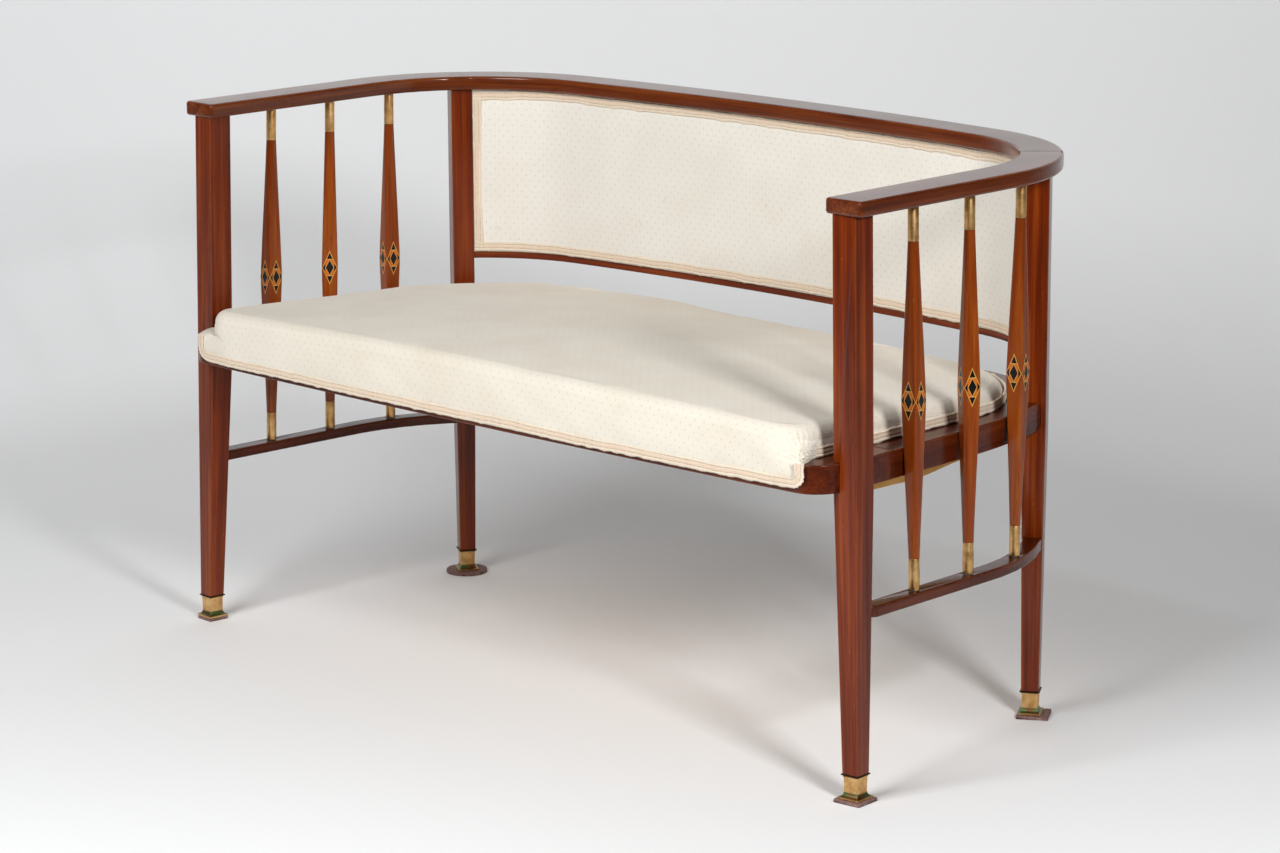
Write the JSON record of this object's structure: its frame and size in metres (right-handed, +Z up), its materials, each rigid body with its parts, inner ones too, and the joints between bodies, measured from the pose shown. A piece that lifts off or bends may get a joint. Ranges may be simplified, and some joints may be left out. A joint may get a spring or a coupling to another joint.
{
  "type": "settee",
  "caption": "Small upholstered settee with one curved rail as arms and back, tapered legs with brass feet, and inlaid spindles at the sides.",
  "frame": {"origin": "on the floor, below the middle of the overall box", "axes": "+Z up, +Y to the back of the settee, +X to the side that is on the right of someone who faces its front; left and right in the node names follow this"},
  "size_m": [1.2666, 0.6338, 0.7485],
  "materials": {
    "mahogany": "polished red-brown mahogany with a striped grain",
    "spindle_mahogany": "polished mahogany, more orange, with black and light inlay at mid-height",
    "frame_beech": "plain sawn wood, hidden",
    "aged_brass": "aged and spotted, darker at the edges",
    "glide_pad": "dull brown pad",
    "cream_cloth": "cream ribbed cloth with rows of small dots",
    "cream_braid": "woven cream braid with a looped edge",
    "ochre_canvas": "plain ochre canvas",
    "jute_webbing": "coarse brown webbing",
    "hair_stuffing": "dark curled hair, hidden"
  },
  "bodies": {
    "root": {"crest_rail": "mahogany", "arm_rail_left": "mahogany", "arm_rail_right": "mahogany", "front_leg_left": "mahogany", "front_leg_right": "mahogany", "back_leg_left": "mahogany", "back_leg_right": "mahogany", "side_stretcher_left": "mahogany", "side_stretcher_right": "mahogany", "seat_rail_front": "mahogany", "seat_rail_back": "mahogany", "seat_rail_left": "mahogany", "seat_rail_right": "mahogany", "seat_corner_left": "mahogany", "seat_corner_right": "mahogany", "lower_back_rail": "mahogany", "seat_cross_brace": "frame_beech", "spindle_left_1": "spindle_mahogany", "ferrule_top_left_1": "aged_brass", "ferrule_bottom_left_1": "aged_brass", "spindle_left_2": "spindle_mahogany", "ferrule_top_left_2": "aged_brass", "ferrule_bottom_left_2": "aged_brass", "spindle_left_3": "spindle_mahogany", "ferrule_top_left_3": "aged_brass", "ferrule_bottom_left_3": "aged_brass", "brass_foot_front_left": "aged_brass", "glide_pad_front_left": "glide_pad", "brass_foot_back_left": "aged_brass", "glide_pad_back_left": "glide_pad", "seat_webbing_left": "jute_webbing", "bottom_canvas_left": "ochre_canvas", "seat_stuffing_left": "hair_stuffing", "spindle_right_1": "spindle_mahogany", "ferrule_top_right_1": "aged_brass", "ferrule_bottom_right_1": "aged_brass", "spindle_right_2": "spindle_mahogany", "ferrule_top_right_2": "aged_brass", "ferrule_bottom_right_2": "aged_brass", "spindle_right_3": "spindle_mahogany", "ferrule_top_right_3": "aged_brass", "ferrule_bottom_right_3": "aged_brass", "brass_foot_front_right": "aged_brass", "glide_pad_front_right": "glide_pad", "brass_foot_back_right": "aged_brass", "glide_pad_back_right": "glide_pad", "seat_webbing_right": "jute_webbing", "bottom_canvas_right": "ochre_canvas", "seat_stuffing_right": "hair_stuffing", "seat_cushion": "cream_cloth", "back_cushion": "cream_cloth", "back_rear_cover": "ochre_canvas", "back_braid": "cream_braid", "seat_braid_front": "cream_braid", "seat_braid_around": "cream_braid"}
  },
  "joints": []
}
